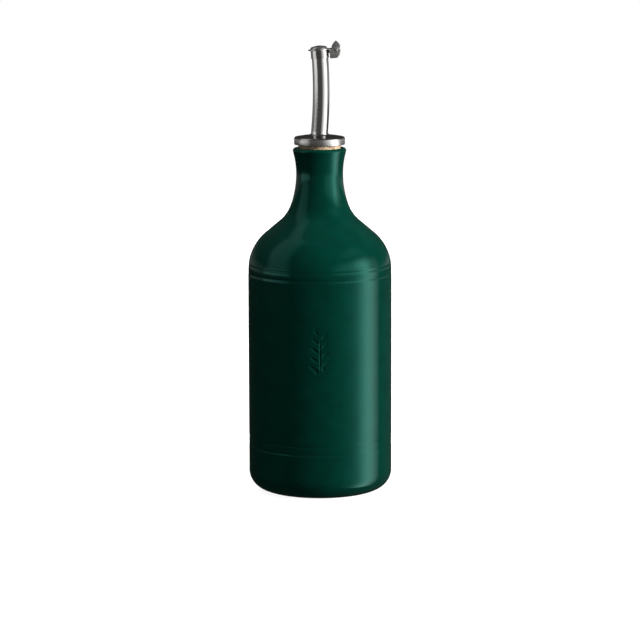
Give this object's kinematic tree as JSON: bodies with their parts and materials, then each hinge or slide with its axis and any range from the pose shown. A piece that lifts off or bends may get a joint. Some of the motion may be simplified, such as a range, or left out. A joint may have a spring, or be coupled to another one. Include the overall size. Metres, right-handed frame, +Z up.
{
  "type": "oil cruet",
  "caption": "Glazed stoneware oil bottle with a cork-seated steel pourer: bowed spout tube, skirted cap disc and a hinged flap with a thumb lever over the spout's mouth.",
  "frame": {"origin": "on the bottle's axis, in the plane of the foot ring that it stands on", "axes": "+Z up along the bottle's axis, -X towards the side that the spout pours over, +X towards the flap's hinge and thumb lever"},
  "size_m": [0.075, 0.075, 0.2351],
  "materials": {
    "glazed_stoneware": "deep green gloss glaze",
    "cork": "natural agglomerated cork",
    "polished_steel": "polished stainless steel",
    "satin_steel": "satin stainless steel, tumbled after casting"
  },
  "bodies": {
    "cruet": {"bottle": "glazed_stoneware", "cork_stopper": "cork", "pourer_cap": "polished_steel", "spout_tube": "polished_steel", "hinge_collar": "satin_steel", "hinge_pin": "satin_steel"},
    "flap": {"flap_lid": "polished_steel", "thumb_lever": "satin_steel"}
  },
  "joints": [
    {"name": "flap_hinge", "type": "hinge", "parent": "cruet", "child": "flap", "pos_m": [0.00865, 0, 0.23082], "axis": [0, 1, 0], "range_deg": [0, 95]}
  ]
}
